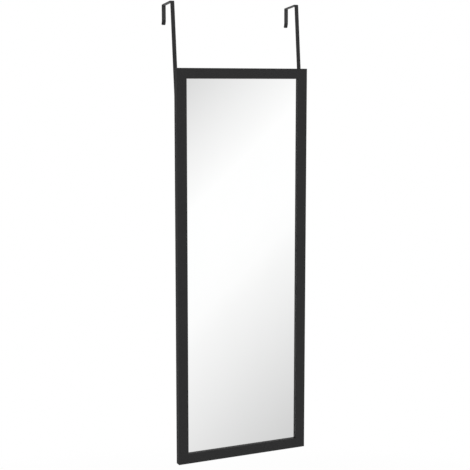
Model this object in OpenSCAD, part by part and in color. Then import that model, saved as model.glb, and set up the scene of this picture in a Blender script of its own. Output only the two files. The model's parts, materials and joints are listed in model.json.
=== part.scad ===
// Over the door mirror: a framed glass that hangs from the top edge of a door by two hinged
// steel hooks. Four mitred lengths of moulding hold the glass, and a board backs it.
// The origin lies midway between the hooks, where the top edge of the door bears on their pads.
// +X points to the right seen from the front, +Y to the back, towards the door, and +Z up.

/* [Frame] */
// Width over the outer edges of the frame
frame_w = 340; // [280:5:480]
// Height over the outer edges of the frame
frame_h = 940; // [600:10:1400]
// Width of the moulding seen from the front
face_w = 24.5; // [23:0.5:36]
// Distance from the front face back to the glass
glass_recess = 6; // [4:0.5:10]
// Rounding along the front edges of the moulding
edge_r = 0.8; // [0.4:0.1:2]
// Width of the glass edge that the moulding's lip hides
lip_cover = 5.5; // [4:0.5:6]

/* [Glass and backing] */
// Thickness of the mirror glass
glass_t = 2; // [2:0.5:4]
// Thickness of the backing board
board_t = 2; // [1.5:0.5:4]
// Play between the glass and the rebate's side walls
glass_play = 1; // [0.5:0.1:1.5]
// Depth left in the rebate behind the backing board
board_inset = 6.5; // [2:0.5:10]

/* [Hooks] */
// Width of the hook strap
strap_w = 10; // [9:0.5:14]
// Thickness of the hook strap and the hinge leaf
strap_t = 1; // [0.8:0.1:1.5]
// Distance along the strap from the hinge pin to the top of the hook
strap_len = 235.5; // [180:0.5:320]
// Clear distance between the strap and the top of the back leg
hook_gap = 52; // [44:1:60]
// Angle past square by which the band falls towards the back leg
band_drop = 1.5; // [0:0.5:3]
// Length of the back leg with its tip
leg_len = 47; // [40:0.5:80]
// Angle by which the back leg opens away from the strap
leg_open = 5; // [0:0.5:8]
// Outer radius of the two bends at the top
bend_r = 2.5; // [2:0.1:4]
// Length of the flared tip of the back leg
tip_rise = 9; // [6:0.5:14]
// Distance that the tip flares away from the door
tip_out = 3; // [2:0.5:8]
// Backward lean of the hooks as photographed
lean = 5.5; // [2:0.5:8]
// Distance from the side of the frame to the strap
strap_inset = 2.5; // [1:0.25:3]
// Thickness of the felt pads inside the hooks
felt_t = 1.5; // [1:0.25:3]

/* [Hinges] */
// Distance from the top edge of the frame down to the hinge pin
pin_drop = 80; // [60:1:120]
// Diameter of the hinge pin
pin_d = 2.5; // [2:0.1:3]
// Length of the hinge leaf below the pin
leaf_len = 42; // [36:1:60]
// Length of the screws in the moulding
screw_len = 12; // [10:0.5:12]
// Diameter of the screws
screw_d = 2.8; // [2.5:0.1:3]

/* [Bumpers] */
// Diameter of the rubber bumpers at the bottom
bumper_d = 11; // [8:0.5:13]
// Distance from the bottom edge of the frame up to the bumpers
bumper_rise = 30; // [20:1:80]

/* [Hidden] */
$fn = 64;
eps = 0.01;
charcoal = [0.03, 0.03, 0.03];
black_steel = [0.035, 0.035, 0.035];
silver = [0.85, 0.87, 0.88];
hardboard = [0.36, 0.24, 0.14];
bare_steel = [0.6, 0.6, 0.6];
felt = [0.05, 0.05, 0.05];
rubber = [0.06, 0.06, 0.06];

// Section of the moulding
rebate_w = lip_cover + glass_play;
wall_w = face_w - rebate_w;
board_front = glass_recess + glass_t;
board_back = board_front + board_t;
frame_d = board_back + board_inset;
pane_edge = wall_w + glass_play;
pane_w = frame_w - 2 * pane_edge;
pane_h = frame_h - 2 * pane_edge;

// Steel nails that join the mitres: two folded plates in each corner, driven in from the back
nail_leg = 5;
nail_t = 0.6;
nail_h = 8;
nail_places = [4, 10.5];

// Flat steel points pushed into the rebate's side wall, over the back of the board
point_len = 12;
point_w = 6;
point_t = 0.5;
point_cover = 4;
point_hold = point_len - glass_play - point_cover;
stile_points = 5;
rail_points = 2;

// Hinge: the leaf and the strap roll round the pin, the leaf outside and the strap between
running_fit = 0.05;
pin_r = pin_d / 2;
knuckle_r = pin_r + running_fit + strap_t;
knuckle_gap = 0.3;
leaf_knuckle_w = (strap_w - 2 * knuckle_gap) / 4;
strap_knuckle_w = (strap_w - 2 * knuckle_gap) / 2;
finger_gap = 0.9;
finger_len = knuckle_r + finger_gap;
pin_head_rim = 0.6;
pin_head_r = pin_r + pin_head_rim;
pin_head_t = 0.5;
leaf_corner_r = 2;

// Screws, measured down from the pin
screw_drops = [leaf_len / 3, leaf_len * 0.8];
screw_r = screw_d / 2;
screw_clearance = 0.2;
screw_head_r = 1.85 * screw_r;
screw_crown_r = 0.8 * screw_head_r;
screw_head_t = 1.7;
screw_tip_r = screw_r / 4;
screw_point_len = 3;
slot_w = 0.7;
slot_len = 1.2 * screw_head_r;
slot_depth = 0.9;

// Hook, drawn from the pin: x towards the door, y up along the strap
strap_back = knuckle_r;
strap_front = strap_back - strap_t;
bend_inner_r = bend_r - strap_t;
bend_x = strap_front + bend_r;
bend_y = strap_len - bend_r;
front_turn = 90 + band_drop;
back_turn = 90 - band_drop - leg_open;
band_run = hook_gap + 2 * strap_t - 2 * bend_r;
leg_run = leg_len - bend_r - tip_rise;
back_bend = band_run * [cos(band_drop), -sin(band_drop)];
tip_corner_r = 2;
tip_corner_lap = 0.07;
pad_side = 0.5;
pad_gap = 1;
pad_rise = 2;
felt_face = bend_inner_r - felt_t;
seat_pad_len = hook_gap - 2 * bend_r;
leg_pad_top = pad_gap - felt_face;
leg_pad_len = leg_run - pad_rise - leg_pad_top;
seat_x = bend_x + band_run / 2 * cos(band_drop) + felt_face * sin(band_drop);
seat_y = bend_y - band_run / 2 * sin(band_drop) + felt_face * cos(band_drop);

// Places in the shared frame, worked out from the leaning hook
pin_y = -(seat_x * cos(lean) + seat_y * sin(lean));
pin_z = seat_x * sin(lean) - seat_y * cos(lean);
back_y = pin_y - knuckle_r;
front_y = back_y - frame_d;
top_z = pin_z + pin_drop;
bottom_z = top_z - frame_h;
hinge_x = frame_w / 2 - strap_inset - strap_w / 2;

// The corners in turn, from the bottom left one upwards, and the length that starts at each
corners = [[0, 0], [0, frame_h], [frame_w, frame_h], [frame_w, 0]];
side_lengths = [frame_h, frame_w, frame_h, frame_w];
side_points = [stile_points, rail_points, stile_points, rail_points];

// Bumpers stand as far off the back as the upright strap does
bumper_r = bumper_d / 2;
bumper_t = 2 * knuckle_r;
bumper_taper = 0.6;
bumper_x = frame_w / 2 - wall_w / 2;

// ---- Placing ----

// The frame's bottom left front corner
module in_frame() {
    translate([-frame_w / 2, front_y, bottom_z]) children();
}

// One side of the frame: x inwards from its outer edge, y backwards, z along it
module at_side(k) {
    in_frame()
        translate([corners[k][0], 0, corners[k][1]])
            rotate([0, 90 * k, 0]) children();
}

// The hinge pin of the hook on one side, -1 for left and 1 for right
module at_pin(side) {
    translate([side * hinge_x, pin_y, pin_z]) children();
}

// The hook's own frame, leaning back about the pin
module leaning(side) {
    at_pin(side) rotate([-lean, 0, 0]) children();
}

// Extrudes a side view, x to the back and y up, over a width across the middle
module across(width) {
    rotate([90, 0, 90]) linear_extrude(width, center = true) children();
}

// Extrudes a front view, x to the right and y up, forwards from y = 0
module forwards(depth) {
    rotate([90, 0, 0]) linear_extrude(depth) children();
}

// Flat tab that hangs down from y = 0 and has round corners at its end
module round_tab(width, length, corner_r) {
    inner_w = width - 2 * corner_r;
    translate([-width / 2, corner_r - length]) square([width, length - corner_r]);
    translate([-inner_w / 2, -length]) square([inner_w, length]);
    for (end = [-1, 1]) translate([end * inner_w / 2, corner_r - length]) circle(corner_r);
}

// ---- Frame ----

module edge_waste() {
    difference() {
        translate([-eps, -eps]) square(edge_r + eps);
        translate([edge_r, edge_r]) circle(edge_r);
    }
}

module moulding_section() {
    difference() {
        square([face_w, frame_d]);
        translate([wall_w, glass_recess]) square([rebate_w + eps, frame_d]);
        edge_waste();
        translate([face_w, 0]) mirror([1, 0]) edge_waste();
    }
}

// One length of moulding, cut to a mitre at both ends
module mitred_length(side_len) {
    intersection() {
        linear_extrude(side_len) moulding_section();
        translate([0, frame_d, 0]) forwards(frame_d)
            polygon([[0, 0], [face_w, face_w], [face_w, side_len - face_w], [0, side_len]]);
    }
}

module frame_side(k) {
    color(charcoal) difference() {
        at_side(k) mitred_length(side_lengths[k]);
        all_nails();
        all_points();
        for (side = [-1, 1]) screw_set(side);
    }
}

// Folded plate with its fold on the mitre line and one leg in each length
module corner_nail() {
    translate([0, frame_d, 0]) forwards(nail_h) difference() {
        square(nail_leg);
        translate([nail_t, nail_t]) square(nail_leg);
    }
}

module all_nails() {
    for (k = [0:3], place = nail_places)
        at_side(k) translate([place, 0, place]) corner_nail();
}

module corner_nails() {
    color(bare_steel) all_nails();
}

// ---- Glass and backing ----

module pane_sheet(front, thickness) {
    in_frame()
        translate([pane_edge, front, pane_edge]) cube([pane_w, thickness, pane_h]);
}

module mirror_pane() {
    color(silver) pane_sheet(glass_recess, glass_t);
}

module backing_board() {
    color(hardboard) pane_sheet(board_front, board_t);
}

module side_point_row(k) {
    step = side_lengths[k] / side_points[k];
    for (i = [0:side_points[k] - 1])
        at_side(k)
            translate([wall_w - point_hold, board_back, (i + 0.5) * step - point_w / 2])
                cube([point_len, point_t, point_w]);
}

module all_points() {
    for (k = [0:3]) side_point_row(k);
}

module retaining_points() {
    color(bare_steel) all_points();
}

// ---- Hinges ----

// Rolled eye with a flat tail that leaves it at a tangent
module eye(bore_r, tail_x, tail_y) {
    difference() {
        union() {
            circle(knuckle_r);
            translate([tail_x, tail_y]) square([strap_t, finger_len]);
        }
        circle(bore_r);
    }
}

module leaf_plate() {
    translate([0, -knuckle_r + strap_t, -finger_len])
        forwards(strap_t) round_tab(strap_w, leaf_len - finger_len, leaf_corner_r);
}

module hinge_leaf(side) {
    knuckle_x = (strap_w - leaf_knuckle_w) / 2;
    color(black_steel) at_pin(side) difference() {
        union() {
            leaf_plate();
            for (end = [-1, 1]) translate([end * knuckle_x, 0, 0])
                across(leaf_knuckle_w) eye(pin_r, -knuckle_r, -finger_len);
        }
        for (drop = screw_drops) translate([0, 0, -drop])
            rotate([90, 0, 0]) cylinder(r = screw_r + screw_clearance, h = 4 * knuckle_r, center = true);
    }
}

module hinge_pin(side) {
    color(bare_steel) at_pin(side) rotate([0, 90, 0]) {
        cylinder(r = pin_r, h = strap_w + 2 * pin_head_t, center = true);
        for (end = [-1, 1]) translate([0, 0, end * (strap_w + pin_head_t) / 2])
            cylinder(r = pin_head_r, h = pin_head_t, center = true);
    }
}

// Pan head screw along +Z from the underside of its head
module pan_screw() {
    shank_len = screw_len - screw_point_len;
    difference() {
        translate([0, 0, -screw_head_t])
            cylinder(r1 = screw_crown_r, r2 = screw_head_r, h = screw_head_t);
        for (turn = [0, 90]) rotate(turn)
            translate([-slot_len / 2, -slot_w / 2, -screw_head_t - eps])
                cube([slot_len, slot_w, slot_depth + eps]);
    }
    cylinder(r = screw_r, h = shank_len);
    translate([0, 0, shank_len])
        cylinder(r1 = screw_r, r2 = screw_tip_r, h = screw_point_len);
}

module screw_set(side) {
    for (drop = screw_drops)
        at_pin(side) translate([0, -knuckle_r + strap_t, -drop]) rotate([90, 0, 0]) pan_screw();
}

module leaf_screws(side) {
    color(bare_steel) screw_set(side);
}

// ---- Hooks ----

// The band's frame: its origin is the centre of the front bend, and +Z runs along the band to the
// back. In this frame and the next, the strap's outer face lies at y = -bend_r.
module at_band() {
    translate([0, bend_x, bend_y]) rotate([-front_turn, 0, 0]) children();
}

// The leg's frame: its origin is the centre of the back bend, and +Z runs down the leg
module at_leg() {
    at_band() translate([0, 0, band_run]) rotate([-back_turn, 0, 0]) children();
}

// Points of an arc about a centre, from one angle to another
function arc(centre, radius, from, to, steps = 12) = [
    for (i = [0:steps]) let (angle = from + (to - from) * i / steps)
        centre + radius * [cos(angle), sin(angle)]
];

// Point in the side view, from its distances out from the back bend's centre and down the leg
function by_leg(out, down) =
    back_bend + out * [cos(leg_open), sin(leg_open)] + down * [sin(leg_open), -cos(leg_open)];

// Side view of the strap from the front bend to its end, about the centre of the front bend
module bent_strap() {
    polygon(concat(
        arc([0, 0], bend_r, 180, 90 - band_drop),
        arc(back_bend, bend_r, 90 - band_drop, leg_open),
        [by_leg(bend_r, leg_run), by_leg(bend_r + tip_out, leg_run + tip_rise)],
        [by_leg(bend_inner_r + tip_out, leg_run + tip_rise), by_leg(bend_inner_r, leg_run)],
        arc(back_bend, bend_inner_r, leg_open, 90 - band_drop),
        arc([0, 0], bend_inner_r, 90 - band_drop, 180)
    ));
}

// What the round corner takes off a square corner at the origin. The round meets both edges at a
// slight angle, as it reaches past them by the lap.
module corner_waste() {
    middle = tip_corner_lap - tip_corner_r;
    difference() {
        translate([-tip_corner_r, -tip_corner_r]) square(2 * tip_corner_r);
        translate([middle, middle]) circle(tip_corner_r);
    }
}

// The waste of both corners of the strap's end, in the leg's frame
module end_waste() {
    for (k = [0, 1]) mirror([k, 0, 0]) translate([strap_w / 2, 0, leg_run + tip_rise])
        forwards(2 * (bend_r + tip_out)) corner_waste();
}

module hook(side) {
    color(black_steel) leaning(side) difference() {
        union() {
            across(strap_knuckle_w) eye(pin_r + running_fit, strap_front, 0);
            across(strap_w) {
                translate([strap_front, finger_len]) square([strap_t, bend_y - finger_len]);
                translate([bend_x, bend_y]) bent_strap();
            }
        }
        at_leg() end_waste();
    }
}

// Felt under the band, where the top edge of the door bears
module seat_pad(side) {
    color(felt) leaning(side) at_band()
        across(strap_w - 2 * pad_side)
            translate([-bend_inner_r, (band_run - seat_pad_len) / 2]) square([felt_t, seat_pad_len]);
}

// Felt on the inside of the back leg
module leg_pad(side) {
    color(felt) leaning(side) at_leg()
        across(strap_w - 2 * pad_side)
            translate([-bend_inner_r, leg_pad_top]) square([felt_t, leg_pad_len]);
}

// ---- Bumpers ----

module bumper(side) {
    color(rubber)
        translate([side * bumper_x, back_y, bottom_z + bumper_rise])
            rotate([-90, 0, 0]) cylinder(r1 = bumper_r, r2 = bumper_r - bumper_taper, h = bumper_t);
}

// ---- Nodes ----

frame_side(0);  // left_stile
frame_side(2);  // right_stile
frame_side(1);  // top_rail
frame_side(3);  // bottom_rail
corner_nails();
mirror_pane();
backing_board();
retaining_points();
hinge_leaf(-1);  // left_hinge_leaf
hinge_leaf(1);  // right_hinge_leaf
leaf_screws(-1);  // left_leaf_screws
leaf_screws(1);  // right_leaf_screws
hinge_pin(-1);  // left_hinge_pin
hinge_pin(1);  // right_hinge_pin
hook(-1);  // left_hook
hook(1);  // right_hook
seat_pad(-1);  // left_seat_pad
seat_pad(1);  // right_seat_pad
leg_pad(-1);  // left_leg_pad
leg_pad(1);  // right_leg_pad
bumper(-1);  // left_bumper
bumper(1);  // right_bumper
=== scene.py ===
"""Looks of an over the door mirror: satin black moulding, silvered glass, black strap hooks on
rolled hinges, felt pads, zinc plated fasteners, a hardboard back and rubber bumpers."""

import json
import math

import bpy
import numpy as np
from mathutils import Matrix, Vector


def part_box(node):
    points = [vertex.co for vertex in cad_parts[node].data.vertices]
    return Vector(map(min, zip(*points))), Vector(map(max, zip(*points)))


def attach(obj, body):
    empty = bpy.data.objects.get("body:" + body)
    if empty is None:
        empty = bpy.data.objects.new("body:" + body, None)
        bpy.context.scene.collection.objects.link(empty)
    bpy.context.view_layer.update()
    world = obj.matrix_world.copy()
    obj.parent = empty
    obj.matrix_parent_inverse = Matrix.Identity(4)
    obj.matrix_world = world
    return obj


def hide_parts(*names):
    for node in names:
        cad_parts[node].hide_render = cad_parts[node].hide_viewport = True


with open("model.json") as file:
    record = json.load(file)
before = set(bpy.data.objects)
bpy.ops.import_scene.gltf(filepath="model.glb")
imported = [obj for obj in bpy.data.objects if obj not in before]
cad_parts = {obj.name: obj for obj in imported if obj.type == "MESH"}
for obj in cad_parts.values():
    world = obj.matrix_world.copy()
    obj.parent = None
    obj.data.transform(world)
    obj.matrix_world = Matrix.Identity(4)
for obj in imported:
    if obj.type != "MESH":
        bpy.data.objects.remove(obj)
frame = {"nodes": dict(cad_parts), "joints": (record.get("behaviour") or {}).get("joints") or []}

MM = 0.001
QUARTER = math.pi / 2
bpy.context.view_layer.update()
NODES = frame["nodes"]
SIDES = ("left", "right")

# Sizes of the object's parts, in metres, and angles of the hook, in radians
LEAN = math.radians(5.5)
STRAP_T = 1.0 * MM
STRAP_W = 10.0 * MM
HOOK_GAP = 52.0 * MM
STRAP_LEN = 235.5 * MM
BAND_DROP = math.radians(1.5)
LEG_LEN = 47.0 * MM
LEG_OPEN = math.radians(5)
BEND_R = 2.5 * MM
TIP_RISE = 9.0 * MM
TIP_OUT = 3.0 * MM
CORNER_R = 2.0 * MM
EDGE_R = 0.18 * MM
FELT_T = 1.5 * MM
FELT_SIDE = 0.5 * MM
FELT_EDGE_R = 0.45 * MM
FELT_RIPPLE = 0.035 * MM
FELT_THINNING = 0.45
LEG_PAD_GAP = 1.0 * MM
LEG_PAD_RISE = 2.0 * MM
PIN_R = 1.25 * MM
EYE_FIT = 0.05 * MM
EYE_R = PIN_R + EYE_FIT + STRAP_T / 2
KNUCKLE_R = PIN_R + EYE_FIT + STRAP_T
KNUCKLE_GAP = 0.3 * MM
LEAF_KNUCKLE_W = (STRAP_W - 2 * KNUCKLE_GAP) / 4
STRAP_KNUCKLE_W = (STRAP_W - 2 * KNUCKLE_GAP) / 2
FINGER_LEN = KNUCKLE_R + 0.9 * MM
FINGER_LAP = 0.5 * MM
ROLL_TURN = math.radians(318)
ROLL_STEPS = 40
# Length in which the strap steps out from its roll to its full width
SHOULDER = 0.001 * MM
# Share of a turned piece's radius at which the flat face in the middle of each end begins
MIDDLE = 0.1
BAND_RUN = HOOK_GAP + 2 * STRAP_T - 2 * BEND_R
LEG_RUN = LEG_LEN - BEND_R - TIP_RISE
FRONT_BEND = np.array([KNUCKLE_R - STRAP_T + BEND_R, STRAP_LEN - BEND_R])


# ---- Meshes ----

def signed_volume(points, faces):
    """Sum over the faces' triangles (a, b, c) of a . (b x c) / 6, which is positive if they point
    outwards."""
    triangles = np.array([(face[0], second, third) for face in faces
                          for second, third in zip(face[1:-1], face[2:])])
    a, b, c = points[triangles.T]
    return np.einsum("ij,ij->", a, np.cross(b, c)) / 6


def mesh_piece(name, shells, sharp=35):
    """One object from closed shells of (points, faces), each turned outwards and shaded smooth up
    to a sharp angle in degrees."""
    points, faces = [], []
    for shell_points, shell_faces in shells:
        if signed_volume(shell_points, shell_faces) < 0:
            shell_faces = [face[::-1] for face in shell_faces]
        start = sum(len(p) for p in points)
        points.append(shell_points)
        faces.extend([[start + i for i in face] for face in shell_faces])
    mesh = bpy.data.meshes.new(name)
    mesh.from_pydata(np.concatenate(points).tolist(), [], faces)
    mesh.polygons.foreach_set("use_smooth", [True] * len(mesh.polygons))
    mesh.set_sharp_from_angle(angle=math.radians(sharp))
    piece = bpy.data.objects.new(name, mesh)
    bpy.context.scene.collection.objects.link(piece)
    return piece


def skin(rings):
    """Closed shell over a stack of rings: point j of ring i joins point j of ring i + 1, and a flat
    face closes each end."""
    count, around = rings.shape[:2]
    i, j = np.meshgrid(np.arange(count - 1), np.arange(around), indexing="ij")
    following = (j + 1) % around
    quads = np.stack([i * around + j, i * around + following,
                      (i + 1) * around + following, (i + 1) * around + j], axis=-1)
    ends = [list(range(around))[::-1], list(range((count - 1) * around, count * around))]
    return rings.reshape(-1, 3), quads.reshape(-1, 4).tolist() + ends


def turned(profile, centre, axis, around=48):
    """Closed surface of revolution: a profile of (distance along the axis, radius), turned."""
    along, radius = np.array(profile, float).T
    angle = np.linspace(0, 2 * math.pi, around, endpoint=False)
    axis = np.array(axis, float)
    side = np.cross(axis, [0, 0, 1] if abs(axis[2]) < 0.9 else [1, 0, 0])
    other = np.cross(axis, side)
    spokes = np.outer(np.cos(angle), side) + np.outer(np.sin(angle), other)
    rings = np.array(centre) + along[:, None, None] * axis + radius[:, None, None] * spokes
    return skin(rings)


def rounded_section(widths, thickness, corner=EDGE_R, steps=4):
    """Rounded rectangles, one per width: across and through coordinates of their outline, where
    each corner is a quarter circle of steps + 1 points."""
    quarter = np.linspace(0, QUARTER, steps + 1)
    angle = np.concatenate([quarter + k * QUARTER for k in range(4)])
    across_sign = np.repeat([1, -1, -1, 1], steps + 1)
    through_sign = np.repeat([1, 1, -1, -1], steps + 1)
    half = np.asarray(widths)[:, None] / 2 - corner
    across = across_sign * half + corner * np.cos(angle)
    through = through_sign * (thickness / 2 - corner) + corner * np.sin(angle)
    return across, np.broadcast_to(through, across.shape)


def bent_path(start, heading, moves):
    """Path in a side view made of moves of (length, turn, steps): a move with a turn is an arc of
    radius length / turn, and one without is straight. Gives the points, headings and distances."""
    points, headings, distances = [np.array(start, float)], [heading], [0.0]
    for length, turn, steps in moves:
        origin, first = points[-1], headings[-1]
        for share in np.linspace(0, 1, steps + 1)[1:]:
            angle = first + turn * share
            if turn:
                radius = length / turn
                step = radius * np.array([math.sin(angle) - math.sin(first),
                                          math.cos(first) - math.cos(angle)])
            else:
                step = length * share * np.array([math.cos(first), math.sin(first)])
            points.append(origin + step)
            headings.append(angle)
            distances.append(distances[-1] + length / steps)
    return np.array(points), np.array(headings), np.array(distances)


def swept(path, section, place, x):
    """Shell of sections, (across, through) arrays, carried along a path in side view and standing
    square to it. place maps back and up coordinates of the side view to the shared frame."""
    points, headings, _ = path
    across, through = section
    back = points[:, :1] - through * np.sin(headings)[:, None]
    up = points[:, 1:] + through * np.cos(headings)[:, None]
    y, z = place(back, up)
    return skin(np.stack([x + across, y, z], axis=-1))


def strap(path, widths, place, x):
    """Flat strap of the hook's thickness, with one width for each point of the path."""
    return swept(path, rounded_section(widths, STRAP_T), place, x)


def end_rounding(distances, width, corner_r, at_start=False, at_end=True):
    """Widths of a strap whose end corners are quarter circles: near an end, at distance d from it,
    each side steps in by r - sqrt(r^2 - (r - d)^2)."""
    widths = np.full(len(distances), width)
    for wanted, from_end in ((at_start, distances), (at_end, distances[-1] - distances)):
        if wanted:
            # Short of the full radius, so that the end keeps a little of its flat
            inside = np.clip(corner_r - from_end, 0, 0.98 * corner_r)
            widths -= 2 * (corner_r - np.sqrt(corner_r ** 2 - inside ** 2))
    return widths


# ---- Node trees ----

def put(tree, kind, inputs=None, **settings):
    """Adds a shader node, sets its options, and links or sets the named inputs."""
    made = tree.nodes.new("ShaderNode" + kind)
    for option, value in settings.items():
        setattr(made, option, value)
    for key, value in (inputs or {}).items():
        if isinstance(value, bpy.types.NodeSocket):
            tree.links.new(value, made.inputs[key])
        else:
            made.inputs[key].default_value = value
    return made


def maths(tree, operation, a, b=0.0, clamp=False):
    return put(tree, "Math", {0: a, 1: b}, operation=operation, use_clamp=clamp).outputs[0]


def blend_colour(tree, factor, first, second):
    mix = put(tree, "Mix", data_type="RGBA")
    for key, value in ((0, factor), (6, first), (7, second)):
        if isinstance(value, bpy.types.NodeSocket):
            tree.links.new(value, mix.inputs[key])
        else:
            mix.inputs[key].default_value = value
    return mix.outputs[2]


def new_group(name, inputs, outputs):
    """Empty shader group with named sockets, given as (name, type, default)."""
    tree = bpy.data.node_groups.new(name, "ShaderNodeTree")
    for direction, sockets in (("INPUT", inputs), ("OUTPUT", outputs)):
        for label, kind, default in sockets:
            socket = tree.interface.new_socket(label, in_out=direction,
                                               socket_type="NodeSocket" + kind)
            if default is not None:
                socket.default_value = default
    return tree, tree.nodes.new("NodeGroupInput"), tree.nodes.new("NodeGroupOutput")


def make_grain_group():
    """Noise in the object's own coordinates, stretched along any axis and curled by its distortion,
    brought between two values."""
    tree, given, result = new_group(
        "Grain",
        [("Stretch", "Vector", (1, 1, 1)), ("Scale", "Float", 500.0), ("Detail", "Float", 4.0),
         ("Distortion", "Float", 0.0), ("Low", "Float", 0.0), ("High", "Float", 1.0)],
        [("Value", "Float", None)])
    place = put(tree, "TexCoord").outputs["Object"]
    stretched = put(tree, "VectorMath", {0: place, 1: given.outputs["Stretch"]},
                    operation="MULTIPLY")
    noise = put(tree, "TexNoise", {"Vector": stretched.outputs[0], "Scale": given.outputs["Scale"],
                                   "Detail": given.outputs["Detail"], "Roughness": 0.6,
                                   "Distortion": given.outputs["Distortion"]})
    value = put(tree, "MapRange", {"Value": noise.outputs[0], "From Min": 0.25, "From Max": 0.75,
                                   "To Min": given.outputs["Low"], "To Max": given.outputs["High"]})
    tree.links.new(value.outputs[0], result.inputs["Value"])
    return tree


def make_wear_group():
    """Mask of worn edges: where a normal rounded over the edge turns away from the face, broken up
    by noise."""
    tree, given, result = new_group(
        "Edge wear",
        [("Radius", "Float", 0.0004), ("Amount", "Float", 1.0), ("Scale", "Float", 300.0)],
        [("Mask", "Float", None)])
    rounded = put(tree, "Bevel", {"Radius": given.outputs["Radius"]}, samples=4)
    facing = put(tree, "VectorMath", {0: rounded.outputs[0],
                                      1: put(tree, "NewGeometry").outputs["True Normal"]},
                 operation="DOT_PRODUCT")
    turned_away = maths(tree, "SUBTRACT", 1.0, facing.outputs["Value"])
    place = put(tree, "TexCoord").outputs["Object"]
    noise = put(tree, "TexNoise", {"Vector": place, "Scale": given.outputs["Scale"], "Detail": 3.0})
    broken = maths(tree, "MULTIPLY", turned_away, maths(tree, "MULTIPLY", noise.outputs[0], 6.0))
    mask = maths(tree, "MULTIPLY", broken, given.outputs["Amount"], clamp=True)
    tree.links.new(mask, result.inputs["Mask"])
    return tree


def make_seam_group():
    """Mask of the mitre joints: a fine line where the distance in from the side edge equals the
    distance in from the top or bottom edge."""
    tree, given, result = new_group(
        "Mitre seam",
        [("Half width", "Float", 0.17), ("Top", "Float", 0.0), ("Bottom", "Float", -1.0),
         ("Line width", "Float", 0.0002)],
        [("Mask", "Float", None)])
    place = put(tree, "SeparateXYZ", {0: put(tree, "TexCoord").outputs["Object"]})
    from_side = maths(tree, "SUBTRACT", given.outputs["Half width"],
                      maths(tree, "ABSOLUTE", place.outputs["X"]))
    from_top = maths(tree, "SUBTRACT", given.outputs["Top"], place.outputs["Z"])
    from_bottom = maths(tree, "SUBTRACT", place.outputs["Z"], given.outputs["Bottom"])
    from_end = maths(tree, "MINIMUM", from_top, from_bottom)
    away = maths(tree, "ABSOLUTE", maths(tree, "SUBTRACT", from_side, from_end))
    line = put(tree, "MapRange", {"Value": away, "From Max": given.outputs["Line width"],
                                  "From Min": 0.0, "To Min": 1.0, "To Max": 0.0},
               interpolation_type="SMOOTHSTEP")
    tree.links.new(line.outputs[0], result.inputs["Mask"])
    return tree


GRAIN = make_grain_group()
WEAR = make_wear_group()
SEAM = make_seam_group()


def grain(tree, scale, low=0.0, high=1.0, stretch=(1, 1, 1), detail=4.0, distortion=0.0):
    made = put(tree, "Group", node_tree=GRAIN)
    for key, value in (("Stretch", stretch), ("Scale", scale), ("Detail", detail),
                       ("Distortion", distortion), ("Low", low), ("High", high)):
        made.inputs[key].default_value = value
    return made.outputs["Value"]


def edge_wear(tree, radius, amount, scale=300.0):
    made = put(tree, "Group", {"Radius": radius, "Amount": amount, "Scale": scale}, node_tree=WEAR)
    return made.outputs["Mask"]


def new_material(name, constants):
    """Material with a Principled shader, whose plain values are set on its own sockets."""
    material = bpy.data.materials.new(name)
    material.use_nodes = True
    tree = material.node_tree
    shader = tree.nodes["Principled BSDF"]
    for socket, value in constants.items():
        shader.inputs[socket].default_value = value
    return material, tree, shader


def join(tree, value, shader, socket):
    tree.links.new(value, shader.inputs[socket])


def bump(tree, shader, height, distance, strength=1.0):
    made = put(tree, "Bump", {"Height": height, "Distance": distance, "Strength": strength})
    tree.links.new(made.outputs[0], shader.inputs["Normal"])


# ---- Materials ----

SEAM_BLACK = (0.004, 0.004, 0.004, 1)
BLACK = (0.0135, 0.0135, 0.0138, 1)
CLOUD_BLACK = (0.0165, 0.0165, 0.0168, 1)
WORN_BLACK = (0.034, 0.034, 0.035, 1)


def moulding_material(name, along):
    """Satin black moulded plastic with faint draw lines along its length and fine mitre seams."""
    material, tree, shader = new_material(name, {"Specular IOR Level": 0.25})
    low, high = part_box("left_stile")
    seam = put(tree, "Group", {"Half width": -low.x, "Top": high.z, "Bottom": low.z,
                               "Line width": 0.16 * MM}, node_tree=SEAM).outputs["Mask"]
    cloud = grain(tree, 14.0)
    tone = blend_colour(tree, cloud, BLACK, CLOUD_BLACK)
    tone = blend_colour(tree, edge_wear(tree, 0.5 * MM, 0.5), tone, WORN_BLACK)
    join(tree, blend_colour(tree, seam, tone, SEAM_BLACK), shader, "Base Color")
    drawn = [1.0 if axis == along else 40.0 for axis in "xyz"]
    lines = grain(tree, 45.0, stretch=drawn)
    faint_lines = maths(tree, "MULTIPLY", lines, 0.05)
    join(tree, maths(tree, "ADD", grain(tree, 60.0, 0.40, 0.50), faint_lines), shader, "Roughness")
    pebble = maths(tree, "MULTIPLY", grain(tree, 1500.0), 0.6)
    surface = maths(tree, "ADD", pebble, maths(tree, "MULTIPLY", lines, 0.4))
    relief = maths(tree, "SUBTRACT", surface, maths(tree, "MULTIPLY", seam, 6.0))
    bump(tree, shader, relief, 0.02 * MM, 0.6)
    return material


def mirror_material():
    """Silvered glass: a clean mirror with barely visible wiping marks."""
    material, tree, shader = new_material("silvered_glass", {"Metallic": 1.0})
    wiped = grain(tree, 9.0, stretch=(1.0, 1.0, 0.35), detail=3.0)
    join(tree, blend_colour(tree, wiped, (0.962, 0.966, 0.964, 1), (0.974, 0.976, 0.975, 1)),
         shader, "Base Color")
    join(tree, grain(tree, 35.0, 0.0, 0.02, stretch=(1, 1, 0.5)), shader, "Roughness")
    bump(tree, shader, grain(tree, 3.0, detail=1.0), 0.02 * MM, 0.15)
    return material


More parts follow.
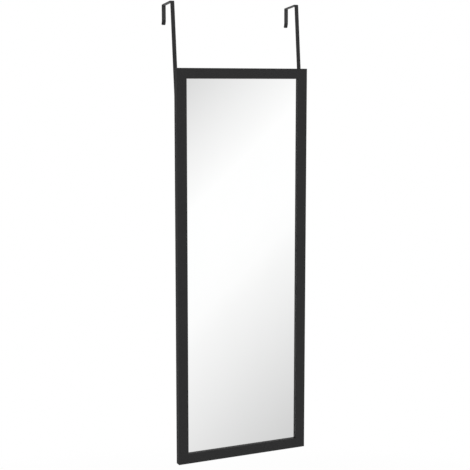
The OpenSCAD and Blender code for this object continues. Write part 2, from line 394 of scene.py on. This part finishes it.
def steel_material():
    """Black powder coated steel: a fine orange peel, rubbed a little along its edges."""
    material, tree, shader = new_material("black_powder_coat", {"Specular IOR Level": 0.3})
    tone = blend_colour(tree, grain(tree, 80.0), (0.012, 0.012, 0.0125, 1),
                        (0.0165, 0.0165, 0.017, 1))
    rubbed = edge_wear(tree, 0.25 * MM, 0.8, 500.0)
    join(tree, blend_colour(tree, rubbed, tone, (0.09, 0.09, 0.092, 1)), shader, "Base Color")
    join(tree, grain(tree, 400.0, 0.36, 0.50), shader, "Roughness")
    bump(tree, shader, grain(tree, 1800.0, detail=2.0), 0.02 * MM, 0.5)
    return material


def zinc_material():
    """Bright zinc plating with fine drawing marks and slightly uneven tone."""
    material, tree, shader = new_material("zinc_plating", {"Metallic": 1.0})
    tone = blend_colour(tree, grain(tree, 260.0), (0.50, 0.51, 0.53, 1), (0.66, 0.65, 0.62, 1))
    join(tree, blend_colour(tree, edge_wear(tree, 0.15 * MM, 0.6), tone, (0.78, 0.78, 0.77, 1)),
         shader, "Base Color")
    join(tree, grain(tree, 700.0, 0.28, 0.46, stretch=(1, 8, 1)), shader, "Roughness")
    bump(tree, shader, grain(tree, 1600.0, stretch=(1, 8, 1)), 0.01 * MM, 0.6)
    return material


def hardboard_material():
    """Pressed brown fibre board: curled fibres, a soft cloud of tone, dark flecks and a fine screen
    print."""
    material, tree, shader = new_material("pressed_hardboard", {"Specular IOR Level": 0.25})
    curled = grain(tree, 240.0, detail=6.0, distortion=3.5)
    fine = grain(tree, 1300.0, detail=4.0, distortion=2.0)
    fibres = maths(tree, "MULTIPLY", maths(tree, "ADD", curled, fine), 0.5)
    tone = blend_colour(tree, fibres, (0.105, 0.055, 0.026, 1), (0.270, 0.163, 0.090, 1))
    cloud = maths(tree, "MULTIPLY", grain(tree, 7.0, detail=2.0), 0.4)
    tone = blend_colour(tree, cloud, tone, (0.27, 0.17, 0.095, 1))
    flecks = maths(tree, "GREATER_THAN", grain(tree, 1100.0, detail=2.0), 0.95)
    flecks = maths(tree, "MULTIPLY", flecks, 0.6)
    join(tree, blend_colour(tree, flecks, tone, (0.05, 0.028, 0.014, 1)), shader, "Base Color")
    join(tree, grain(tree, 150.0, 0.68, 0.86), shader, "Roughness")
    place = put(tree, "SeparateXYZ", {0: put(tree, "TexCoord").outputs["Object"]})
    phase_per_metre = 2 * math.pi / (1.6 * MM)
    weave = [maths(tree, "SINE", maths(tree, "MULTIPLY", place.outputs[axis], phase_per_metre))
             for axis in ("X", "Z")]
    screen = maths(tree, "MULTIPLY", maths(tree, "MULTIPLY", *weave), 0.5)
    bump(tree, shader, maths(tree, "ADD", screen, fibres), 0.06 * MM, 0.8)
    return material


def felt_material():
    """Black pressed felt: matted fibres that curl every way, pressed flatter in patches, with a
    soft sheen."""
    material, tree, shader = new_material("pressed_felt", {
        "Specular IOR Level": 0.1, "Sheen Weight": 0.35, "Sheen Roughness": 0.6})
    curled = grain(tree, 1500.0, detail=6.0, distortion=4.0)
    fine = grain(tree, 4200.0, detail=3.0, distortion=2.0)
    fibres = maths(tree, "MULTIPLY", maths(tree, "ADD", curled, fine), 0.5)
    tone = blend_colour(tree, fibres, (0.009, 0.009, 0.010, 1), (0.036, 0.036, 0.038, 1))
    pressed = maths(tree, "MULTIPLY", grain(tree, 160.0, detail=2.0), 0.45)
    join(tree, blend_colour(tree, pressed, tone, (0.013, 0.013, 0.014, 1)), shader, "Base Color")
    join(tree, grain(tree, 600.0, 0.88, 1.0), shader, "Roughness")
    bump(tree, shader, fibres, 0.12 * MM, 0.8)
    return material


def rubber_material():
    """Matte black rubber with a fine moulded grain, greyed along its rim."""
    material, tree, shader = new_material("moulded_rubber", {"Specular IOR Level": 0.3})
    tone = blend_colour(tree, grain(tree, 200.0), (0.016, 0.016, 0.017, 1),
                        (0.027, 0.027, 0.028, 1))
    join(tree, blend_colour(tree, edge_wear(tree, 0.4 * MM, 0.7), tone, (0.06, 0.06, 0.061, 1)),
         shader, "Base Color")
    join(tree, grain(tree, 500.0, 0.62, 0.78), shader, "Roughness")
    bump(tree, shader, grain(tree, 2200.0, detail=2.0), 0.03 * MM, 0.6)
    return material


STEEL = steel_material()
ZINC = zinc_material()
FELT = felt_material()
RUBBER = rubber_material()


def dress(piece, material):
    piece.data.materials.clear()
    piece.data.materials.append(material)


def stand_for(piece, material, body, slot, *nodes):
    """Gives a new piece its finish, its body and the solids that it stands for."""
    dress(piece, material)
    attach(piece, body)
    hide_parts(*nodes)


# ---- Pieces that keep their solids ----

def dress_frame():
    stile, rail = moulding_material("satin_stile", "z"), moulding_material("satin_rail", "x")
    for name, material in (("left_stile", stile), ("right_stile", stile),
                           ("top_rail", rail), ("bottom_rail", rail)):
        dress(NODES[name], material)
    dress(NODES["mirror_pane"], mirror_material())
    dress(NODES["backing_board"], hardboard_material())
    dress(NODES["corner_nails"], ZINC)


# ---- Hooks and hinges ----

def pin_place(side):
    joint = next(j for j in frame["joints"] if j["name"] == side + "_hook_hinge")
    return joint["pos_m"]


def leaning(side, lean=LEAN):
    """Maps back and up coordinates of the hook's side view, counted from the pin and turned back by
    the lean, to the shared frame."""
    _, pin_y, pin_z = pin_place(side)

    def place(back, up):
        y = pin_y + back * math.cos(lean) + up * math.sin(lean)
        z = pin_z - back * math.sin(lean) + up * math.cos(lean)
        return y, z
    return place


def make_hook(side):
    """Strap rolled round the pin, up to the band, over the door and down the leg to its flared tip.
    The roll is as wide as the strap's knuckle."""
    front_turn, back_turn = QUARTER + BAND_DROP, QUARTER - BAND_DROP - LEG_OPEN
    bend = BEND_R - STRAP_T / 2
    flare = math.atan2(TIP_OUT, TIP_RISE)
    flare_bend = 3 * MM
    ease = flare_bend * math.tan(flare / 2)
    start_angle = -ROLL_TURN
    start = EYE_R * np.array([math.cos(start_angle), math.sin(start_angle)])
    roll = [(EYE_R * ROLL_TURN, ROLL_TURN, ROLL_STEPS), (FINGER_LEN, 0, 2)]
    moves = roll + [
        (SHOULDER, 0, 1),
        (STRAP_LEN - BEND_R - FINGER_LEN - SHOULDER, 0, 30),
        (bend * front_turn, -front_turn, 10),
        (BAND_RUN, 0, 10),
        (bend * back_turn, -back_turn, 10),
        (LEG_RUN - ease, 0, 8),
        (flare_bend * flare, flare, 6),
        (TIP_RISE / math.cos(flare) - ease - CORNER_R, 0, 3),
        (CORNER_R, 0, 8)]
    path = bent_path(start, start_angle + QUARTER, moves)
    widths = end_rounding(path[2], STRAP_W, CORNER_R)
    widths[:1 + sum(steps for _, _, steps in roll)] = STRAP_KNUCKLE_W
    x = pin_place(side)[0]
    piece = mesh_piece(side + "_strap_hook", [strap(path, widths, leaning(side), x)])
    stand_for(piece, STEEL, side + "_hook_arm", "black_steel", side + "_hook")


def make_leaf(side):
    """Plate on the back of the stile, whose two knuckles roll over the pin from the front."""
    x, place = pin_place(side)[0], leaning(side, 0)
    low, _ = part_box(side + "_hinge_leaf")
    leaf_len = pin_place(side)[2] - low.z
    plate_len = leaf_len - FINGER_LEN
    plate = bent_path((-EYE_R, -leaf_len), QUARTER,
                      [(CORNER_R, 0, 8), (plate_len - CORNER_R, 0, 4)])
    shells = [strap(plate, end_rounding(plate[2], STRAP_W, CORNER_R, True, False), place, x)]
    finger_len = FINGER_LEN + FINGER_LAP
    finger = bent_path((-EYE_R, -finger_len), QUARTER,
                       [(finger_len, 0, 3), (EYE_R * ROLL_TURN, -ROLL_TURN, ROLL_STEPS)])
    knuckle_x = (STRAP_W - LEAF_KNUCKLE_W) / 2
    for end in (-1, 1):
        widths = np.full(len(finger[2]), LEAF_KNUCKLE_W)
        shells.append(strap(finger, widths, place, x + end * knuckle_x))
    piece = mesh_piece(side + "_leaf_plate", shells)
    stand_for(piece, STEEL, "mirror", "black_steel", side + "_hinge_leaf")


def make_pin(side):
    """Rod with a domed rivet head at each end: the head's radius falls as an ellipse."""
    low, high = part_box(side + "_hinge_pin")
    head_r, half = (high.z - low.z) / 2, (high.x - low.x) / 2
    head_t, flat = half - STRAP_W / 2, 0.35
    dome = np.linspace(0, QUARTER, 9)[:-1]
    outer = [(half - head_t * (1 - math.cos(a)), head_r * (flat + (1 - flat) * math.sin(a)))
             for a in dome]
    outer += [(half - head_t, head_r), (half - head_t, PIN_R)]
    profile = [(half, MIDDLE * head_r)] + outer
    profile += [(-along, radius) for along, radius in profile[::-1]]
    piece = mesh_piece(side + "_rivet_pin", [turned(profile, pin_place(side), (1, 0, 0))])
    stand_for(piece, ZINC, "mirror", "zinc_steel", side + "_hinge_pin")


# ---- Fasteners ----

SCREW_HEAD_R = 2.59 * MM
SCREW_HEAD_T = 1.7 * MM
SCREW_R = 1.4 * MM
SCREW_LEN = 12.0 * MM
SCREW_POINT_LEN = 3.0 * MM
# Shares of the head's height that its dome falls by, and of the shank's radius left at its tip
SCREW_DOME = 0.45
SCREW_TIP = 0.05
THREAD_PITCH = 1.25 * MM
THREAD_DEPTH = 0.35 * MM
RECESS_DEPTH = 1.0 * MM
RECESS_REACH = 1.5 * MM
RECESS_HALF_W = 0.42 * MM
RECESS_SIDE_FADE = 0.18 * MM
RECESS_END_FADE = 0.9 * MM
STILE_POINTS = 5
RAIL_POINTS = 2


def cross_recess(x, z):
    """Depth of the driver's cross: two arms whose depth fades towards their sides and ends."""
    def arm(along, across):
        side = np.clip((RECESS_HALF_W - np.abs(across)) / RECESS_SIDE_FADE + 0.5, 0, 1)
        end = np.clip((RECESS_REACH - np.abs(along)) / RECESS_END_FADE, 0, 1)
        return side * end
    return RECESS_DEPTH * np.maximum(arm(x, z), arm(z, x))


def screw_shell(head_x, head_y, head_z, around=72):
    """Pan head screw that points forwards: a domed head with a cross recess, and a shank whose
    radius follows a helical thread and tapers to the point."""
    angle = np.linspace(0, 2 * math.pi, around, endpoint=False)
    # Rings of equal area, from a tiny one at the head's centre to its rim
    spread = np.sqrt(np.linspace(0.0004, 1, 26))
    head = SCREW_HEAD_R * spread[:, None] * np.ones(around)
    x, z = head * np.cos(angle), head * np.sin(angle)
    dome = SCREW_HEAD_T * (1 - SCREW_DOME * spread[:, None] ** 4) - cross_recess(x, z)
    along = np.linspace(0, SCREW_LEN, 150)
    taper = np.clip((SCREW_LEN - along) / SCREW_POINT_LEN, SCREW_TIP, 1)[:, None]
    phase = (along[:, None] / THREAD_PITCH + angle / (2 * math.pi)) % 1
    ridge = THREAD_DEPTH * (np.abs(phase - 0.5) * 2)
    shank = (SCREW_R - ridge) * taper
    radius = np.concatenate([head, head[-1:], shank])
    back = np.concatenate([dome, np.zeros((1, around)), -along[:, None] * np.ones(around)])
    rings = np.stack([head_x + radius * np.cos(angle), head_y + back,
                      head_z + radius * np.sin(angle)], axis=-1)
    return skin(rings)


def make_screws(side):
    low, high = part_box(side + "_leaf_screws")
    x, pin_y, _ = pin_place(side)
    seat = pin_y - KNUCKLE_R + STRAP_T
    shells = [screw_shell(x, seat, z) for z in (low.z + SCREW_HEAD_R, high.z - SCREW_HEAD_R)]
    piece = mesh_piece(side + "_pan_screws", shells, sharp=28)
    stand_for(piece, ZINC, "mirror", "zinc_steel", side + "_leaf_screws")


def make_points():
    """Sprung steel points: each enters the rebate's wall with a spear end, lies on the board, and
    lifts a little at its round free end."""
    frame_low, frame_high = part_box("left_stile")[0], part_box("right_stile")[1]
    low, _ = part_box("retaining_points")
    _, board_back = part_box("backing_board")
    in_wall = low.x - frame_low.x
    width, thickness, edge_r, corner_r = 6 * MM, 0.5 * MM, 0.12 * MM, 1.5 * MM
    spear_len, flat_len, lift_len = 2.5 * MM, 6.0 * MM, 2.0 * MM
    spear_share, lift, end_lift = 0.35, 0.10, 0.05
    moves = [(spear_len, 0, 5), (flat_len, 0, 2), (lift_len, lift, 4), (corner_r, end_lift, 8)]
    path = bent_path((in_wall, board_back.y + thickness / 2), 0, moves)
    widths = end_rounding(path[2], width, corner_r)
    widths *= spear_share + (1 - spear_share) * np.clip(path[2] / spear_len, 0, 1)
    across, through = rounded_section(widths, thickness, edge_r)
    inside = path[0][:, :1] - through * np.sin(path[1])[:, None]
    y = path[0][:, 1:] + through * np.cos(path[1])[:, None]
    corners = [(frame_low.x, frame_low.z), (frame_low.x, frame_high.z),
               (frame_high.x, frame_high.z), (frame_high.x, frame_low.z)]
    spans = [frame_high.z - frame_low.z, frame_high.x - frame_low.x] * 2
    shells = []
    for k, count in enumerate((STILE_POINTS, RAIL_POINTS) * 2):
        inward = np.array([[1, 0], [0, -1], [-1, 0], [0, 1]][k])
        onward = np.array([[0, 1], [1, 0], [0, -1], [-1, 0]][k])
        for i in range(count):
            along = (i + 0.5) * spans[k] / count + across
            flat = np.array(corners[k]) + inside[..., None] * inward + along[..., None] * onward
            shells.append(skin(np.stack([flat[..., 0], y, flat[..., 1]], axis=-1)))
    piece = mesh_piece("spring_points", shells)
    stand_for(piece, ZINC, "mirror", "zinc_steel", "retaining_points")


# ---- Felt and rubber ----

def felt_shell(side, start, heading, length, width, thickness, seed):
    """Felt strip stuck to the strap: a rounded rectangle carried along it, thinner towards both
    ends, whose free face rises and falls by a few sines."""
    steps = 40
    path = bent_path(start, heading, [(length, 0, steps)])
    share = np.linspace(-1, 1, steps + 1)[:, None]
    swell = 1 - FELT_THINNING * np.abs(share) ** 14
    across, through = rounded_section(np.full(steps + 1, width), thickness, FELT_EDGE_R, 5)
    # A long wave and a short one, both aslant
    ripple = FELT_RIPPLE * (np.sin(9 * share + seed + across / (1.1 * MM))
                            + np.sin(23 * share - across / (0.7 * MM)))
    free = through > 0
    through = np.where(free, through * swell + ripple - 2 * FELT_RIPPLE, through)
    return swept(path, (across, through), leaning(side), pin_place(side)[0])


def make_pads(side, seed):
    """Seat pad under the band, and leg pad on the front of the back leg."""
    pad_w = STRAP_W - 2 * FELT_SIDE
    depth = BEND_R - STRAP_T - FELT_T / 2
    band_way = np.array([math.cos(BAND_DROP), -math.sin(BAND_DROP)])
    band_out = np.array([math.sin(BAND_DROP), math.cos(BAND_DROP)])
    leg_up = np.array([-math.sin(LEG_OPEN), math.cos(LEG_OPEN)])
    leg_out = np.array([math.cos(LEG_OPEN), math.sin(LEG_OPEN)])
    seat_len = HOOK_GAP - 2 * BEND_R
    seat_end = FRONT_BEND + (BAND_RUN + seat_len) / 2 * band_way + depth * band_out
    leg_top = BEND_R - STRAP_T - FELT_T - LEG_PAD_GAP
    leg_bottom = LEG_PAD_RISE - LEG_RUN
    leg_foot = FRONT_BEND + BAND_RUN * band_way + leg_bottom * leg_up + depth * leg_out
    strips = {
        "seat": (seat_end, math.pi - BAND_DROP, seat_len),
        "leg": (leg_foot, QUARTER + LEG_OPEN, leg_top - leg_bottom)}
    for part, (start, heading, length) in strips.items():
        shell = felt_shell(side, start, heading, length, pad_w, FELT_T, seed)
        piece = mesh_piece(f"{side}_{part}_felt", [shell], sharp=60)
        stand_for(piece, FELT, side + "_hook_arm", "felt", f"{side}_{part}_pad")


def make_bumper(side):
    """Rubber bumper: a foot that draws in to a rounded rim round a shallow dish."""
    low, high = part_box(side + "_bumper")
    radius, height = (high.x - low.x) / 2, high.y - low.y
    foot_edge, foot_t, draw_in, rim = 0.2 * MM, 0.8 * MM, 0.6 * MM, 0.9 * MM
    face_w, dish_start, dish_side, dish_depth = 1.6 * MM, 2.2 * MM, 0.25 * MM, 0.35 * MM
    top_r = radius - draw_in
    arc = np.linspace(0, QUARTER, 9)
    profile = [(0, MIDDLE * radius), (0, radius - foot_edge), (foot_edge, radius),
               (foot_t, radius)]
    profile += [(height - rim + rim * math.sin(a), top_r - rim + rim * math.cos(a)) for a in arc]
    profile += [(height, top_r - face_w), (height - dish_side, top_r - dish_start),
                (height - dish_depth, MIDDLE * radius)]
    centre = ((low.x + high.x) / 2, low.y, (low.z + high.z) / 2)
    piece = mesh_piece(side + "_rubber_foot", [turned(profile, centre, (0, 1, 0), 64)])
    stand_for(piece, RUBBER, "mirror", "rubber", side + "_bumper")


# ---- Studio ----

FLOOR_Z = -2.03
FLOOR_R = 14.0
HORIZON_FADE = (1.2, 3.0)
PLAIN_LEVEL = 0.56
SCREEN_LEVEL = 1.03
# Degrees and level of each stop of the screens that polished faces see
SCREENS = [(0, 0.74), (8, 0.66), (16, 0.585), (21.5, 0.65), (28.5, 0.955), (31, 1.0), (33, 0.996),
           (35.5, 0.955), (45, 0.66), (58, 0.52), (75, 0.62), (90, 0.88), (105, 0.90),
           (125, 0.60), (150, 0.50), (205, 0.38), (250, 0.50), (300, 0.50), (325, 0.62),
           (340, 0.86), (349, 0.86), (360, 0.74)]
# The camera's place is in metres, and its turn and drop are in degrees
CAMERA_PLACE = (-1.1998, -2.5319, -0.1880)
CAMERA_TURN = 25.546
CAMERA_DROP = 7.390
CAMERA_FOCAL_PX = 1155.0
SENSOR_MM = 36.0
IMAGE_PX = 470


def make_world():
    """White where the camera sees it. Polished faces see soft bands of a studio's screens, whose
    level follows azimuth less height, and the rest is a plain level."""
    world = bpy.data.worlds.new("studio")
    bpy.context.scene.world = world
    world.use_nodes = True
    tree = world.node_tree
    tree.nodes.clear()
    path = put(tree, "LightPath")
    seen = maths(tree, "MAXIMUM", path.outputs["Is Camera Ray"],
                 path.outputs["Is Transmission Ray"])
    direction = put(tree, "SeparateXYZ", {0: put(tree, "TexCoord").outputs["Generated"]})
    ahead = maths(tree, "MULTIPLY", direction.outputs["Y"], -1.0)
    azimuth = maths(tree, "ARCTAN2", direction.outputs["X"], ahead)
    height = maths(tree, "ARCSINE", direction.outputs["Z"])
    along = maths(tree, "SUBTRACT", azimuth, height)
    turn = maths(tree, "FRACT", maths(tree, "ADD", maths(tree, "DIVIDE", along, 2 * math.pi), 1.0))
    ramp = put(tree, "ValToRGB", {0: turn})
    stops = ramp.color_ramp.elements
    while len(stops) < len(SCREENS):
        stops.new(0.5)
    for stop, (degrees, level) in zip(stops, SCREENS):
        stop.position = degrees / 360
        stop.color = (level, level, level, 1)
    ramp.color_ramp.interpolation = "CARDINAL"
    plain = put(tree, "Background", {"Color": (1, 1, 1, 1), "Strength": PLAIN_LEVEL})
    screens = put(tree, "Background", {"Color": ramp.outputs[0], "Strength": SCREEN_LEVEL})
    white = put(tree, "Background", {"Color": (1, 1, 1, 1), "Strength": 1.0})
    reflected = put(tree, "MixShader", {0: path.outputs["Is Glossy Ray"], 1: plain.outputs[0],
                                        2: screens.outputs[0]})
    shown = put(tree, "MixShader", {0: seen, 1: reflected.outputs[0], 2: white.outputs[0]})
    put(tree, "OutputWorld", {0: shown.outputs[0]})


def make_floor():
    """Pale floor, a disc that keeps the object's shadow near the middle and turns plain white
    towards its rim."""
    angle = np.linspace(0, 2 * math.pi, 96, endpoint=False)
    rings = np.array([0.02, 0.5, 1, 2, 4, FLOOR_R])
    points = np.stack([np.outer(rings, np.cos(angle)), np.outer(rings, np.sin(angle)),
                       np.full((len(rings), len(angle)), FLOOR_Z)], axis=-1)
    # The last face, which would close the rim, is left out
    vertices, faces = skin(points)
    mesh = bpy.data.meshes.new("floor")
    mesh.from_pydata(vertices.tolist(), [], faces[:-1])
    floor = bpy.data.objects.new("floor", mesh)
    bpy.context.scene.collection.objects.link(floor)
    material, tree, shader = new_material("pale_floor", {
        "Base Color": (0.86, 0.86, 0.86, 1), "Roughness": 0.8, "Specular IOR Level": 0.0})
    path = put(tree, "LightPath")
    away = put(tree, "VectorMath", {0: put(tree, "TexCoord").outputs["Object"], 1: (1, 1, 0)},
               operation="MULTIPLY")
    radius = put(tree, "VectorMath", {0: away.outputs[0]}, operation="LENGTH").outputs["Value"]
    far = put(tree, "MapRange", {"Value": radius, "From Min": HORIZON_FADE[0],
                                 "From Max": HORIZON_FADE[1], "To Min": 0.55, "To Max": 1.0})
    white = put(tree, "Emission", {"Color": (1, 1, 1, 1), "Strength": 1.0})
    clear = put(tree, "BsdfTransparent")
    lit = put(tree, "MixShader", {0: far.outputs[0], 1: shader.outputs[0], 2: white.outputs[0]})
    shown = put(tree, "MixShader", {0: path.outputs["Is Camera Ray"], 1: shader.outputs[0],
                                    2: lit.outputs[0]})
    passed = put(tree, "MixShader", {0: path.outputs["Is Glossy Ray"], 1: shown.outputs[0],
                                     2: clear.outputs[0]})
    tree.links.new(passed.outputs[0], tree.nodes["Material Output"].inputs["Surface"])
    dress(floor, material)


def make_lamp(name, place, target, size, watts):
    light = bpy.data.lights.new(name, "AREA")
    light.shape = "RECTANGLE"
    light.size, light.size_y = size
    light.energy = watts
    lamp = bpy.data.objects.new(name, light)
    bpy.context.scene.collection.objects.link(lamp)
    lamp.location = place
    facing = np.array(target) - np.array(place)
    lamp.rotation_euler = (math.atan2(math.hypot(facing[0], facing[1]), -facing[2]), 0,
                           math.atan2(facing[0], -facing[1]) + math.pi)
    lamp.visible_camera = False
    lamp.visible_glossy = False


def make_lights():
    middle = (0, -0.06, -0.55)
    make_lamp("key_screen", (-2.2, -2.2, 1.4), middle, (2.0, 2.0), 62)
    make_lamp("fill_screen", (2.6, -1.6, 0.4), middle, (2.0, 2.4), 30)
    make_lamp("back_screen", (0.6, 2.8, 1.2), middle, (2.4, 2.0), 60)


def make_camera():
    data = bpy.data.cameras.new("camera")
    data.sensor_width = SENSOR_MM
    data.lens = CAMERA_FOCAL_PX * SENSOR_MM / IMAGE_PX
    camera = bpy.data.objects.new("camera", data)
    bpy.context.scene.collection.objects.link(camera)
    camera.location = CAMERA_PLACE
    camera.rotation_euler = (math.radians(90 - CAMERA_DROP), 0, math.radians(-CAMERA_TURN))
    bpy.context.scene.camera = camera


# ---- Making ----

make_camera()
dress_frame()
for seed, side in enumerate(SIDES):
    make_hook(side)
    make_leaf(side)
    make_pin(side)
    make_screws(side)
    make_pads(side, seed)
    make_bumper(side)
make_points()
make_world()
make_floor()
make_lights()
bpy.context.scene.view_settings.view_transform = "Standard"
